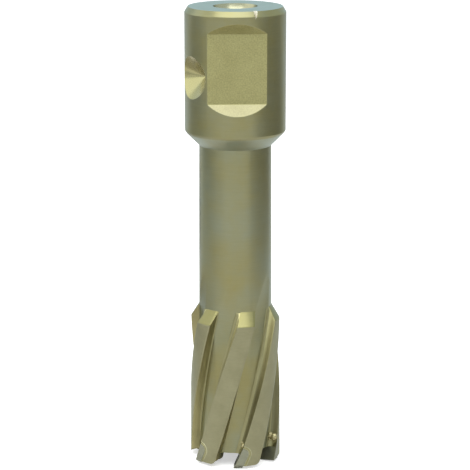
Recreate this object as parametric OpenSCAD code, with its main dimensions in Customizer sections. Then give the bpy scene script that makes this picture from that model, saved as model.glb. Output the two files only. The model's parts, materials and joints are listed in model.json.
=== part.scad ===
// Annular cutter with brazed hard-metal tips, standing on its teeth.
// The axis is Z and the tooth points lie on z = 0. The shank is at the top and its front flat faces -Y.
// Angles are measured from -Y, counter-clockwise seen from the shank.

/* [Shank] */
// Diameter of the shank
shank_d = 19.05; // [18:0.05:20]
// Length of the shank, with its edge breaks
shank_len = 23.8; // [22:0.1:28]
// Height of the chamfer on the shank's end
end_chamfer_h = 1; // [0.4:0.1:1.6]
// How far the end chamfer takes in the radius
end_chamfer_r = 0.63; // [0.3:0.01:1]
// Height of the edge break at the foot of the shank
foot_break_h = 0.48; // [0.2:0.02:0.8]
// How far the foot break takes in the radius
foot_break_r = 0.32; // [0.1:0.02:0.5]

/* [Clamping flats] */
// Depth of a flat below the round of the shank
flat_depth = 1.76; // [1.2:0.02:2.2]
// Length of the level part of a flat
flat_len = 13; // [10:0.1:14]
// Length of the ramp at each end of a flat
flat_ramp = 2.05; // [1:0.05:2.4]
// From the shank's end to the middle of a flat
flat_from_end = 10.75; // [10.2:0.05:11.5]

/* [Ball dimple] */
// Diameter of the dimple's round rim
dimple_d = 8; // [6:0.1:9]
// Depth of the dimple's point below the round of the shank
dimple_depth = 3.1; // [2.4:0.1:3.6]
// Where the dimple sits round the shank
dimple_angle = -62; // [-75:0.1:-60]
// From the shank's end to the middle of the dimple
dimple_from_end = 12.75; // [10:0.05:14]

/* [Rim nick] */
// Where the nick sits round the end of the shank
nick_angle = 21.8; // [10:0.1:60]
// Width of the nick's opening
nick_w = 0.9; // [0.4:0.1:1.4]
// Depth of the nick below the shank's end
nick_h = 1.5; // [0.6:0.1:2]

/* [Bores] */
// Diameter of the bore for the ejector pin
pilot_d = 6.35; // [5:0.05:7.5]
// Diameter of the countersink on the ejector bore
pilot_sink_d = 8.3; // [7.8:0.1:10]
// Diameter of the bore that takes the core
core_d = 10.5; // [9.9:0.05:11]
// Depth of the core bore above the tooth points
core_depth = 56; // [50:0.5:60]
// Included angle of the core bore's drilled end
drill_point = 118; // [100:1:140]

/* [Neck] */
// Wall between the core bore and the neck, at the head
neck_wall = 1.7; // [1.5:0.01:2]
// How much the neck's radius falls off up to the shank
neck_taper = 0.12; // [0:0.01:0.2]
// Height of the shank's shoulder above the tooth points
reach = 62.15; // [60:0.05:70]

/* [Head] */
// Diameter that the tips cut
cut_d = 17.5; // [17:0.05:18]
// How far the tips stand out beyond the lands, on the radius
tip_proud = 0.06; // [0.02:0.01:0.12]
// How much the lands' radius falls off up to the top of the head
back_taper = 0.1; // [0:0.01:0.2]
// Height of the lands above the tooth points
head_h = 28.4; // [24:0.1:34]
// Height of the cone from the lands to the neck
head_cone_h = 2.6; // [2:0.1:5]

/* [Flutes] */
// Turn of the lands' cutting side, in degrees for each millimetre of height
lead_turn = 2.17; // [1.6:0.01:2.4]
// Turn of the lands' heel side, in degrees for each millimetre of height
heel_turn = 1.9; // [1.5:0.01:2.17]
// Width of a land at the top of its tip, in degrees
land_width = 28.8; // [26:0.1:31]
// Radius of the round between flute floor and cutting side
rake_round = 0.9; // [0.5:0.05:1.1]
// How far the heel side spreads toward the flute floor
heel_spread = 0.45; // [0.1:0.05:0.7]

/* [Teeth] */
// Where the first tooth's cutting edge sits
tooth_angle = -5; // [-30:0.5:30]
// Height of the gullets above the tooth points
gullet_h = 2.8; // [2:0.1:3.4]
// Radius of the round between a gullet's roof and the heel of a tooth
gullet_round = 0.8; // [0.3:0.05:1.2]
// Height of the teeth's steel above the tooth points
tooth_drop = 0.65; // [0.4:0.05:0.8]
// Angle at which the teeth's steel rises behind the tips
heel_relief = 1; // [0:0.5:4]

/* [Tips] */
// Length of a tip along its cutting side
tip_len = 4.65; // [4.2:0.05:5.2]
// Thickness of a tip
tip_t = 1.5; // [1.3:0.05:1.8]
// Lean of a tip from the axis
tip_lean = 24; // [20:0.5:26]
// Radius of a tip's upper back corner
tip_round = 1; // [0.4:0.05:1.2]
// Angle at which a tip's end rises behind its cutting edge
tip_relief = 4; // [2:0.5:8]
// Width of the bevel on the outer corner of the odd tips
tip_bevel = 0.95; // [0.5:0.05:1.2]
// Angle at which the end of the even tips rises outward
tip_slope = 6.5; // [3:0.5:10]
// How far the tips stand out into the core bore
core_proud = 0.12; // [0.05:0.01:0.2]
// Thickness of the braze behind and above a tip
braze_t = 0.4; // [0.2:0.05:0.5]
// How far the braze lies below the lands
braze_sink = 0.05; // [0.02:0.01:0.1]

/* [Hidden] */
$fn = 96;
teeth = 6;
tooth_step = 360 / teeth;
margin = 1;

shank_r = shank_d / 2;
core_r = core_d / 2;
pilot_r = pilot_d / 2;
cut_r = cut_d / 2;
land_r = cut_r - tip_proud;
land_top_r = land_r - back_taper;
floor_r = core_r + neck_wall;
neck_top_r = floor_r - neck_taper;
tip_inner_r = core_r - core_proud;

foot_r = shank_r - foot_break_r;
foot_z = reach + foot_r - neck_top_r;
shank_end = foot_z + shank_len;
flat_z = shank_end - flat_from_end;
flat_floor = shank_r - flat_depth;
dimple_r = dimple_d / 2;

// Height and angle of a tip's upper front corner, where the land's cutting side starts
tip_top = tip_len * cos(tip_lean);
tip_top_angle = asin(tip_len * sin(tip_lean) / land_r);
cone_top = head_h + head_cone_h;
land_rows = 16;
root_r = core_r - margin;
heel_blend = 3;

tip_names = [for (k = [1 : teeth]) str("carbide_tip_", k)];
seam_names = [for (k = [1 : teeth]) str("braze_seam_", k)];

function tooth_turn(k) = tooth_angle + (k - 1) * tooth_step;

// Point at a radius and a sideways distance from the radial line at an angle
function spot(angle, side, radius) = [
    side * cos(angle) + radius * sin(angle),
    side * sin(angle) - radius * cos(angle)
];

function reversed(list) = [for (i = [len(list) - 1 : -1 : 0]) list[i]];

function lead_angle(z) = tip_top_angle + lead_turn * (z - tip_top);
function heel_angle(z) = tip_top_angle + land_width + heel_turn * (z - tip_top);
function heel_foot(z) = heel_spread * min(1, max(0, (z - gullet_h) / heel_blend));

// Cross-section of one land at a height, from the bore out along the cutting side and back along the heel
function land_section(z) = concat(
    [spot(lead_angle(z), 0, root_r)],
    [spot(lead_angle(z), -rake_round, floor_r - neck_wall / 3)],
    [for (a = [-65 : 32.5 : 0])
        spot(lead_angle(z), rake_round * (cos(a) - 1), floor_r + rake_round * (1 + sin(a)))],
    [spot(lead_angle(z), 0, cut_r + margin)],
    [spot(heel_angle(z), 0, cut_r + margin)],
    [spot(heel_angle(z), heel_foot(z), floor_r - neck_wall / 3)],
    [spot(heel_angle(z), 0, root_r)]
);

// Helical bar that one land is cut from
module land_bar() {
    bottom = tooth_drop / 4;
    top = cone_top + margin;
    sections = [for (i = [0 : land_rows]) bottom + (top - bottom) * i / land_rows];
    n = len(land_section(bottom));
    points = [for (z = sections) for (p = land_section(z)) [p.x, p.y, z]];
    sides = [for (i = [0 : land_rows - 1]) for (j = [0 : n - 1])
        let (a = i * n + j, b = i * n + (j + 1) % n)
        each [[a, a + n, b], [b, a + n, b + n]]];
    lower_end = [for (j = [0 : n - 1]) j];
    upper_end = [for (j = [n - 1 : -1 : 0]) land_rows * n + j];
    polyhedron(points, concat([lower_end, upper_end], sides));
}

// Turned outside of the head, from the tooth ends to the cone that runs into the neck
module head_blank() {
    inside_r = floor_r - neck_wall / 2;
    inside_z = cone_top + (floor_r - inside_r) * head_cone_h / (land_top_r - floor_r);
    rotate_extrude() polygon([
        [0, -margin],
        [land_r, -margin],
        [land_r, tooth_drop],
        [land_top_r, head_h],
        [inside_r, inside_z],
        [0, inside_z]
    ]);
}

// Turned shank and neck, down to the roof of the gullets
module turned_blank() {
    rotate_extrude() polygon([
        [0, gullet_h],
        [floor_r, gullet_h],
        [floor_r, cone_top],
        [neck_top_r, reach],
        [foot_r, foot_z],
        [shank_r, foot_z + foot_break_h],
        [shank_r, shank_end - end_chamfer_h],
        [shank_r - end_chamfer_r, shank_end],
        [0, shank_end]
    ]);
}

// Back and upper edge of a tip's outline, moved out by a distance
function seat_edge(out) = concat(
    [[tip_t + out, -margin]],
    [for (a = [0 : 15 : 90]) [
        tip_t - tip_round + (tip_round + out) * cos(a),
        tip_len - tip_round + (tip_round + out) * sin(a)
    ]],
    [[0, tip_len + out]]
);

// Outline of a tip or its seat, set leaning across the wall of the first tooth
module across_wall(outline) {
    rotate([0, tip_lean, 0])
        rotate([90, 0, 0])
            linear_extrude(cut_r + margin)
                polygon(outline);
}

module tip_seat() {
    across_wall(concat([[0, -margin]], seat_edge(braze_t)));
}

// Room ahead of a tip and over its front half, below the roof of the gullet
module gullet_front() {
    ahead = 2 * rake_round;
    back = tip_t / 2;
    low = -margin * tan(tip_lean);
    high = gullet_h * tan(tip_lean);
    rotate([90, 0, 0])
        linear_extrude(cut_r + margin)
            polygon([
                [low - ahead, -margin],
                [low + back, -margin],
                [high + back, gullet_h],
                [high - ahead, gullet_h]
            ]);
}

// Round that fills the corner between a gullet's roof and the heel of its tooth
module gullet_corner() {
    inset = 0.05;
    arc = [for (a = [105 : 13 : 170]) [
        gullet_round * (1 + cos(a)),
        gullet_h - gullet_round * (1 - sin(a))
    ]];
    low = arc[len(arc) - 1];
    outline = concat([[-gullet_round, gullet_h + inset], [-gullet_round, low.y]], reversed(arc),
        [[arc[0].x, gullet_h + inset]]);
    intersection() {
        rotate(heel_angle(low.y))
            rotate([90, 0, 0])
                linear_extrude(cut_r)
                    polygon(outline);
        wall_ring(root_r, floor_r - inset);
    }
}

// Block under a tooth whose top is the ground end of its steel
module heel_ground() {
    translate([tip_t, -cut_r - margin, tooth_drop])
        rotate([0, -heel_relief, 0])
            translate([-cut_r / 3, 0, -3 * margin])
                cube([cut_r, cut_r - tip_inner_r + 2 * margin, 3 * margin]);
}

// Block under a tip whose top is ground along the tip's end, rising outward from a radius
module tip_ground(slope, radius) {
    translate([0, -radius, 0])
        rotate([-slope, -tip_relief, 0])
            translate([-cut_r / 2, -cut_r / 2, -3 * margin])
                cube([cut_r, cut_r, 3 * margin]);
}

module wall_ring(inner, outer) {
    difference() {
        translate([0, 0, -margin]) cylinder(r = outer, h = tip_len + 3 * margin);
        translate([0, 0, -2 * margin]) cylinder(r = inner, h = tip_len + 5 * margin);
    }
}

module clamping_flat() {
    ramp_out = margin * flat_ramp / flat_depth;
    low = flat_z - flat_len / 2;
    high = flat_z + flat_len / 2;
    translate([-shank_r, 0, 0])
        rotate([90, 0, 90])
            linear_extrude(shank_d)
                polygon([
                    [-flat_floor, low],
                    [-shank_r - margin, low - flat_ramp - ramp_out],
                    [-shank_r - margin, high + flat_ramp + ramp_out],
                    [-flat_floor, high]
                ]);
}

// Straight lines from the dimple's point through its round rim on the shank, carried on past the rim
module ball_dimple() {
    steps = 48;
    past = 1.5;
    point = [0, dimple_depth - shank_r, 0];
    lid = [0, -shank_r - 3 * margin, 0];
    rim = [for (i = [0 : steps - 1]) let (x = dimple_r * cos(i * 360 / steps))
        [x, -sqrt(shank_r * shank_r - x * x), dimple_r * sin(i * 360 / steps)]];
    outer = [for (p = rim) point + past * (p - point)];
    sides = [for (i = [0 : steps - 1]) [0, i + 2, (i + 1) % steps + 2]];
    cover = [for (i = [0 : steps - 1]) [1, (i + 1) % steps + 2, i + 2]];
    rotate(dimple_angle)
        translate([0, 0, shank_end - dimple_from_end])
            polyhedron(concat([point, lid], outer), concat(sides, cover));
}

module rim_nick() {
    inner = shank_r - end_chamfer_r - nick_w / 2;
    rotate(nick_angle)
        translate([0, -inner, shank_end])
            rotate([90, 0, 0])
                linear_extrude(shank_r)
                    polygon([[-nick_w / 2, margin], [-nick_w / 4, -nick_h], [nick_w / 2, 0], [nick_w / 2, margin]]);
}

module bores() {
    point_h = (core_r - pilot_r) / tan(drill_point / 2);
    sink_h = (pilot_sink_d - pilot_d) / 2;
    translate([0, 0, -margin]) cylinder(r = core_r, h = core_depth + margin);
    translate([0, 0, core_depth]) cylinder(r1 = core_r, r2 = pilot_r, h = point_h);
    translate([0, 0, core_depth]) cylinder(r = pilot_r, h = shank_end - core_depth + margin);
    translate([0, 0, shank_end - sink_h]) cylinder(r1 = pilot_r, r2 = pilot_sink_d / 2, h = sink_h);
}

module fluted_head() {
    difference() {
        intersection() {
            head_blank();
            for (k = [1 : teeth]) rotate(tooth_turn(k)) land_bar();
        }
        for (k = [1 : teeth]) rotate(tooth_turn(k)) gullet_front();
        for (k = [1 : teeth]) rotate(tooth_turn(k)) heel_ground();
    }
}

module cutter_body() {
    color("darkkhaki") difference() {
        union() {
            turned_blank();
            fluted_head();
            for (k = [1 : teeth]) rotate(tooth_turn(k)) gullet_corner();
        }
        bores();
        clamping_flat();
        rotate(180) clamping_flat();
        ball_dimple();
        rim_nick();
        for (k = [1 : teeth]) rotate(tooth_turn(k)) tip_seat();
    }
}

module carbide_tip(k) {
    color("gray") rotate(tooth_turn(k)) difference() {
        intersection() {
            across_wall(concat([[0, -margin]], seat_edge(0)));
            wall_ring(tip_inner_r, cut_r);
        }
        if (k % 2 == 0) {
            tip_ground(tip_slope, tip_inner_r);
        } else {
            tip_ground(0, tip_inner_r);
            tip_ground(45, cut_r - tip_bevel);
        }
    }
}

module braze_seam(k) {
    color("palegoldenrod") rotate(tooth_turn(k)) difference() {
        intersection() {
            across_wall(concat(seat_edge(braze_t), reversed(seat_edge(0))));
            wall_ring(core_r, land_r - braze_sink);
        }
        heel_ground();
    }
}

cutter_body();
for (k = [1 : teeth]) carbide_tip(k);
for (k = [1 : teeth]) braze_seam(k);
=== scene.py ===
# %% [markdown]
# # A hollow drill with brazed teeth
# This lesson dresses an annular cutter: a steel tube with a clamping shank on top, six helical
# lands round its lower half, and a hard-metal tip brazed into the foot of every land.
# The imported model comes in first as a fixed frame, in metres, and nothing in it is moved.

# %% Load the frame
import json
import math

import bmesh
import bpy
import numpy as np
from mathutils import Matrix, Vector

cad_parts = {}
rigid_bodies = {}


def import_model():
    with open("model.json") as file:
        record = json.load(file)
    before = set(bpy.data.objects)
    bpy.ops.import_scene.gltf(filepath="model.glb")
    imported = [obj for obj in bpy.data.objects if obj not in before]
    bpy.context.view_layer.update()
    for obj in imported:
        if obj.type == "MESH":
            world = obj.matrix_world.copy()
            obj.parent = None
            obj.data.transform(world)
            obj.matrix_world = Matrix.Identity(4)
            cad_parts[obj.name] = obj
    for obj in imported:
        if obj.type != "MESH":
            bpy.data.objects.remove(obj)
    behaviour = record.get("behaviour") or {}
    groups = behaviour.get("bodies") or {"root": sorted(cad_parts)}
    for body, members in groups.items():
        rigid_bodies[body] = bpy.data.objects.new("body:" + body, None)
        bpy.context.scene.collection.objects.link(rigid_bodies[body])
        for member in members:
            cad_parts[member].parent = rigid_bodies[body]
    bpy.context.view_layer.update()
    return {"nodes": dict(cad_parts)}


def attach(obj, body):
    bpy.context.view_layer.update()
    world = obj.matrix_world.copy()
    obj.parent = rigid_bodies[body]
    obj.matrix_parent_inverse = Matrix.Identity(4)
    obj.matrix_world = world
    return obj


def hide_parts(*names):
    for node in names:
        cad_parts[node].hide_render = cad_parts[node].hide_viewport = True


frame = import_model()
scene = bpy.context.scene
scene.view_settings.view_transform = "Standard"

# %% [markdown]
# ## The camera
# A long lens from a little above the shank, turned slightly away from the front flat, gives the calm,
# almost parallel outline of a catalogue picture. The place and the lens come from fitting a camera
# to the outline of the cutter, so the frame needs no shift.

# %% Camera
VIEW_PITCH, VIEW_TURN = 13.722, 2.4
CAMERA_AT, LENS = (-0.01522, -0.36181, 0.13286), 149.17

camera_data = bpy.data.cameras.new("catalogue_camera")
camera_data.sensor_width = 36
camera_data.lens = LENS
camera_data.clip_start = 0.01
camera_data.clip_end = 20
camera = bpy.data.objects.new("catalogue_camera", camera_data)
camera.location = CAMERA_AT
camera.rotation_euler = (math.radians(90 - VIEW_PITCH), 0, math.radians(-VIEW_TURN))
scene.collection.objects.link(camera)
scene.camera = camera
print("camera at", np.round(camera.location, 4).tolist(), "lens", round(camera_data.lens, 2))

# %% [markdown]
# ## Grids, rings and soft corners
# Every new piece here is a numpy grid. A row of the grid is a closed ring, and rings are stacked along
# a height or carried along a path. Index arithmetic turns the grid into quads in one go. No machined
# edge is perfectly sharp, so two surfaces meet through an eased minimum that rounds their corner.
# All lengths are in millimetres until a mesh is made.

# %% Grid helpers
def grid_quads(rows, cols, wrap_rows=False):
    """Quads of stacked rings: a corner, its right neighbour, the one above that, and the one above it."""
    row = np.arange(rows if wrap_rows else rows - 1)[:, None]
    col = np.arange(cols)[None, :]
    up, right = (row + 1) % rows, (col + 1) % cols
    quads = [row * cols + col, row * cols + right, up * cols + right, up * cols + col]
    return np.stack(quads, -1).reshape(-1, 4)


def eased_min(first, second, width):
    """The smaller of two values, minus a parabola where they are closer than a width."""
    near = np.clip(width - np.abs(first - second), 0, None)
    return np.minimum(first, second) - near ** 2 / (4 * width)


def stops(*spans):
    """Numbers along several spans (start, end, step), sorted, each only once."""
    parts = [np.linspace(start, end, max(2, int(round((end - start) / step)) + 1))
             for start, end, step in spans]
    return np.unique(np.round(np.concatenate(parts), 4))


def on_circle(turn, radius):
    """Point at an angle from -Y, counter-clockwise seen from above, as x and y."""
    return radius * np.sin(turn), -radius * np.cos(turn)


def as_points(x, y, z):
    """Three grids of one shape as a list of points."""
    x, y, z = np.broadcast_arrays(x, y, z)
    return np.stack([x, y, z], -1).reshape(-1, 3)


print("eased corner of two planes:", round(float(eased_min(1.0, 1.0, 0.2)), 3))

# %% [markdown]
# ## The shank
# On the real tool the shank is turned, then milled: two clamping flats with ramps, a drilled dimple for
# the ball catch, and a pilot bore for the ejector pin. The flats could be cut with booleans, but here the
# outside is one function: the radius at an angle and a height is the lesser of turned outline and flat.

# %% Turned outline and flats
SHANK_R, SHANK_END = 9.525, 88.325
CHAMFER_H, CHAMFER_R = 1.0, 0.63
FOOT_Z, FOOT_R = 64.525, 9.205
FOOT_BREAK_H, FOOT_BREAK_R = 0.48, 0.32
REACH, NECK_TOP_R = 62.15, 6.83
FOOT_EASE, EDGE_EASE = 0.1, 0.06
FLAT_Z, FLAT_HALF, FLAT_DEPTH, FLAT_RAMP = 77.575, 6.5, 1.76, 2.05
LEAST_COS = 0.1


def round_radius(z):
    """Turned outline: the least of shoulder cone, edge break at the foot, round and end chamfer."""
    shoulder = NECK_TOP_R + (z - REACH)
    foot = FOOT_R + (z - FOOT_Z) * FOOT_BREAK_R / FOOT_BREAK_H
    chamfer = SHANK_R - (z - SHANK_END + CHAMFER_H) * CHAMFER_R / CHAMFER_H
    radius = eased_min(eased_min(shoulder, foot, FOOT_EASE), np.full_like(z, SHANK_R), EDGE_EASE)
    return eased_min(radius, chamfer, EDGE_EASE)


def flat_radius(turn, z):
    """Plane of a clamping flat, moved out along the ramps past its ends, over the cosine of the angle."""
    past = np.clip(np.abs(z - FLAT_Z) - FLAT_HALF, 0, None)
    plane = SHANK_R - FLAT_DEPTH + past * FLAT_DEPTH / FLAT_RAMP
    return plane / np.clip(np.abs(np.cos(turn)), LEAST_COS, None)


print("turned radius at the height of the flats:", round(float(round_radius(np.array(FLAT_Z))), 3), "mm")

# %% [markdown]
# The ball of the tool holder catches in the dimple, a drilled cone. The rim of the shank has a small
# three-cornered nick with bare metal in it. Cut by booleans, both would leave slivers in the grid. So the
# dimple is a square block of the grid, bent to a disc so that its rim stays round, and the nick is a share
# from 0 to 1 by which the skin is pulled in.

# %% Dimple and nick
DIMPLE_TURN, DIMPLE_Z = math.radians(-62), 75.575
DIMPLE_R, DIMPLE_APEX, LEAST_SHARE = 4.0, 6.425, 1e-9
NICK_TURN = math.radians(21.8)
NICK_W, NICK_H = 0.9, 1.5
NICK_LEAN, NICK_SPREAD, NICK_SLOPE = 0.09, 0.45, 0.1


def dimple_disc(side, up):
    """Dimple over a square from -1 to 1: the square bends to a disc, and each point lies on the straight
    line from the dimple's point to the round rim on the shank. Gives angle, radius and height."""
    across, rise = side * np.sqrt(1 - up ** 2 / 2), up * np.sqrt(1 - side ** 2 / 2)
    share = np.hypot(across, rise)
    rim_x = DIMPLE_R * across / np.maximum(share, LEAST_SHARE)
    depth = DIMPLE_APEX + share * (np.sqrt(SHANK_R ** 2 - rim_x ** 2) - DIMPLE_APEX)
    turn = DIMPLE_TURN + np.arctan2(DIMPLE_R * across, depth)
    return turn, np.hypot(DIMPLE_R * across, depth), DIMPLE_Z + DIMPLE_R * rise


def nick_share(turn, z):
    """How far inside the three-cornered nick a point of the rim lies, from 0 to 1 over a short slope."""
    x = SHANK_R * np.sin(turn - NICK_TURN)
    drop = z - SHANK_END
    left = -NICK_W / 2 + (1 - drop) * NICK_LEAN
    right = -NICK_W / 4 + (drop + NICK_H) * NICK_SPREAD
    front = np.cos(turn - NICK_TURN) > 0
    return np.clip(np.minimum(x - left, right - x) / NICK_SLOPE, 0, 1) * front


print("dimple:", round(SHANK_R - DIMPLE_APEX, 3), "mm deep and", 2 * DIMPLE_R, "mm across")

# %% [markdown]
# A subdivided cylinder would spend its faces evenly. Here rows and columns stand close together where the
# skin bends, at the ramps, the chamfer and the nick, and wide apart where it is plain.

# %% Outside of the shank
NICK_IN, FLAT_EASE = 8.445, 0.05
BLOCK_R = 0.85 * DIMPLE_R

square = np.linspace(-1, 1, 37)
left_turns = np.radians(stops((-180, -141, 0.8), (-141, -90, 3), (-90, -87.4, 1.3)))
right_turns = np.radians(stops((-36.8, -34, 0.2), (-34, 38, 0.8), (34, 37, 0.25), (20, 25, 0.4),
                               (38, 142, 3), (142, 179.2, 0.8)))
low_rows = stops((REACH - 0.3, FOOT_Z - 0.2, 0.5), (FOOT_Z - 0.2, FOOT_Z + 0.8, 0.07),
                 (FOOT_Z + 0.8, 68.8, 0.9), (68.8, 71.3, 0.09), (71.3, 71.5, 0.2))
high_rows = stops((79.65, 83.9, 0.6), (83.9, 86.3, 0.09), (86.3, 86.8, 0.25), (86.8, SHANK_END, 0.08))
block_turns = DIMPLE_TURN + np.arcsin(BLOCK_R * square / SHANK_R)
turns = np.concatenate([left_turns, block_turns, right_turns])[None, :]
heights = np.concatenate([low_rows, DIMPLE_Z + BLOCK_R * square, high_rows])[:, None]
turns, heights = turns + 0 * heights, heights + 0 * turns

first_row, first_col = len(low_rows), len(left_turns)
block = np.s_[first_row:first_row + len(square), first_col:first_col + len(square)]
turns[block], dimple_r, heights[block] = dimple_disc(square[None, :], square[:, None])
turned_skin = round_radius(heights)
flat_skin = flat_radius(turns, heights)
skin = eased_min(turned_skin, flat_skin, FLAT_EASE)
skin[block] = dimple_r
nick = nick_share(turns, heights)
skin = skin - nick * np.clip(skin - NICK_IN, 0, None)
print("outside of the shank:", skin.shape, "rows and columns, of which the dimple has", dimple_r.shape)

# %% [markdown]
# From the rim the rows run on over the end, down the countersunk mouth and the pilot bore to the drill point,
# and back to the start, so that the skin closes. Capping it would be quicker, but the mouth is open to view.
# The last rings lie hidden in the wall of the tube.

# %% End and bore of the shank
PILOT_R, SINK_R = 3.175, 4.15
MOUTH_R, MOUTH_H = 3.75, 1.5
CORE_R, CORE_DEPTH = 5.25, 56
DRILL_POINT = math.radians(59)
DRILL_RISE = (CORE_R - PILOT_R) / math.tan(DRILL_POINT)
PILOT_RING = (PILOT_R, 72)
TUCKED_END = [(5.65, CORE_DEPTH), (6.4, 61.6)]

rim = skin[-1:]
end_face = np.array([0.04, 0.3, 0.7])[:, None]
bore_line = np.array([(SINK_R, SHANK_END), (MOUTH_R, SHANK_END - MOUTH_H),
                      (PILOT_R, SHANK_END - MOUTH_H - MOUTH_R + PILOT_R), PILOT_RING,
                      (PILOT_R, CORE_DEPTH + DRILL_RISE), (CORE_R, CORE_DEPTH), *TUCKED_END])
inner_r, inner_z = bore_line.T[:, :, None] + 0 * rim
shank_r = np.concatenate([skin, rim + (SINK_R - rim) * end_face, inner_r])
shank_z = np.concatenate([heights, SHANK_END + 0 * rim * end_face, inner_z])
shank_turn = np.concatenate([turns, turns[-1:] + 0 * shank_r[len(skin):]])
shank_points = as_points(*on_circle(shank_turn, shank_r), shank_z)
shank_quads = grid_quads(*shank_r.shape, wrap_rows=True)
print("shank:", shank_r.shape, "rings and columns,", len(shank_quads), "quads")

# %% [markdown]
# ## The tube
# Below the shank the cutter is a tube: the bore takes the slug, and the outside is the floor of the flutes.
# Its lower edge is not level: the gullets have a flat roof with a round toward each tooth's heel, and
# the slots that hold the tips reach higher. A boolean would leave slivers there, so every column of the grid
# starts at its own height. The slot comes first: the outline of a leaned tip, set off by the braze.

# %% Tip slots
TIP_LEN, TIP_T, TIP_ROUND, BRAZE_T = 4.65, 1.5, 1.0, 0.4
LEAN = math.radians(24)
GULLET_H = 2.8


def leaned(across, along):
    """Point of a tip's own plane, leaned back by the tip's angle, as x and z."""
    x = across * math.cos(LEAN) + along * math.sin(LEAN)
    return x, along * math.cos(LEAN) - across * math.sin(LEAN)


def slot_edge(steps):
    """Upper edge of a tip's slot, from its front plane over the rounded corner down its back, as x and z."""
    angles = np.radians(np.linspace(90, 0, steps))
    bend = TIP_ROUND + BRAZE_T
    across = np.concatenate([[0, (TIP_T - TIP_ROUND) / 2], TIP_T - TIP_ROUND + bend * np.cos(angles)])
    along = np.concatenate([[TIP_LEN + BRAZE_T] * 2, TIP_LEN - TIP_ROUND + bend * np.sin(angles)])
    return leaned(across, along)


edge_x, edge_z = slot_edge(14)
falling = np.s_[4:]
roof_x = np.interp(-GULLET_H, -edge_z[falling], edge_x[falling])
over_roof = edge_z > GULLET_H
front_z = np.linspace(GULLET_H, edge_z[0], 6)[:-1]
slot_x = np.concatenate([front_z * math.tan(LEAN), edge_x[over_roof], [roof_x]])
slot_z = np.concatenate([front_z, edge_z[over_roof], [GULLET_H]])
print("slot above the gullet:", len(slot_x), "points, up to", round(float(slot_z.max()), 3), "mm")

# %% [markdown]
# A gullet is the gap in front of a tooth, where the chips start. One sector of the lower edge holds a heel
# round, a gullet roof, a slot and the foot of a tooth, and six turned copies close the ring. Heel round and
# slot keep their sideways places from the outside to the bore, because they are cut straight through the
# wall. Radial columns would be simpler, but would narrow the slot toward the bore.

# %% Gullets
TEETH, TOOTH_TURN = 6, -5.0
TOOTH_STEP = 360 / TEETH
GULLET_ROUND = 0.8
FLOOR_R, LAND_R = 6.95, 8.69
HEEL_TURN, LAND_WIDTH = 1.9, 28.8
TIP_TOP = TIP_LEN * math.cos(LEAN)
TIP_TOP_TURN = math.degrees(math.asin(TIP_LEN * math.sin(LEAN) / LAND_R))
ROOF_COLS, FOOT_COLS = 15, 9


def heel_turn(z):
    """Angle of a land's heel side at a height, from its tooth's own zero."""
    return np.radians(TIP_TOP_TURN + LAND_WIDTH + HEEL_TURN * (z - TIP_TOP))


bow = np.radians(np.linspace(170, 95, 8))
bow_x = GULLET_ROUND * (1 + np.cos(bow))
bow_z = GULLET_H - GULLET_ROUND * (1 - np.sin(bow))
heel_at = heel_turn(np.array(bow_z[0]))
last_heel = heel_at - 2 * math.pi / TEETH


def sector_turns(radius):
    """Angles of one sector's columns at a radius: heel round, gullet roof, slot and foot of the tooth."""
    heel_round = last_heel + np.arcsin(bow_x / radius)
    slot = np.arcsin(slot_x / radius)
    roof = np.linspace(heel_round[-1], slot[0], ROOF_COLS + 2)[1:-1]
    foot = np.linspace(slot[-1], heel_at, FOOT_COLS + 2)[1:-1]
    return np.concatenate([heel_round, roof, slot, foot])


sector_low = np.concatenate([bow_z, np.full(ROOF_COLS, GULLET_H), slot_z, np.full(FOOT_COLS, GULLET_H)])
sectors = np.radians(TOOTH_TURN + TOOTH_STEP * np.arange(TEETH))[:, None]
outer_turn = (sectors + sector_turns(FLOOR_R)).reshape(1, -1)
inner_turn = (sectors + sector_turns(CORE_R)).reshape(1, -1)
low = np.tile(sector_low, TEETH)[None, :]
print("lower edge of the tube:", low.size, "columns from", round(float(low.min()), 3), "mm up")

# %% [markdown]
# A flute doesn't end where the head ends. The milling wheel leaves the steel along its own arc and cuts a
# shallow flat into the neck, one above each flute. A bump map could only shade it, so the outside of the
# tube is the lesser of neck and flat. The tube's upper end lies hidden in the shank.

# %% Tube with run-outs
HEAD_H, CONE_TOP = 28.4, 31.0
LEAD_TURN = 2.17
RUNOUT_START, RUNOUT_LEN, RUNOUT_DEPTH, RUNOUT_EASE = 22.0, 9.5, 0.28, 0.015
LEVEL_Z = 6
TUBE_TOP, TUCKED_Z, TUCKED_R = REACH + 0.5, CORE_DEPTH + 0.4, CORE_R + 0.25
BORE_RINGS = [(CORE_R, 30), (CORE_R, 8)]


def lead_turn(z):
    """Angle of a land's cutting side at a height, from its tooth's own zero."""
    return np.radians(TIP_TOP_TURN + LEAD_TURN * (z - TIP_TOP))


def runout_radius(turn, z):
    """Floor that a flute's milling wheel leaves: a plane across the flute's middle that turns with the
    flute, sinks in near the top of the head and rises again along the wheel's arc, over the cosine of the
    angle from that middle."""
    sink = np.clip((z - RUNOUT_START) / (HEAD_H - RUNOUT_START), 0, 1)
    rise = np.clip((z - HEAD_H) / RUNOUT_LEN, 0, None) ** 2
    middle = (lead_turn(z) + heel_turn(z)) / 2 - math.pi / TEETH + math.radians(TOOTH_TURN)
    off = (turn - middle + math.pi / TEETH) % (2 * math.pi / TEETH) - math.pi / TEETH
    return (FLOOR_R - RUNOUT_DEPTH * (sink * sink * (3 - 2 * sink) - rise)) / np.cos(off)


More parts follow.
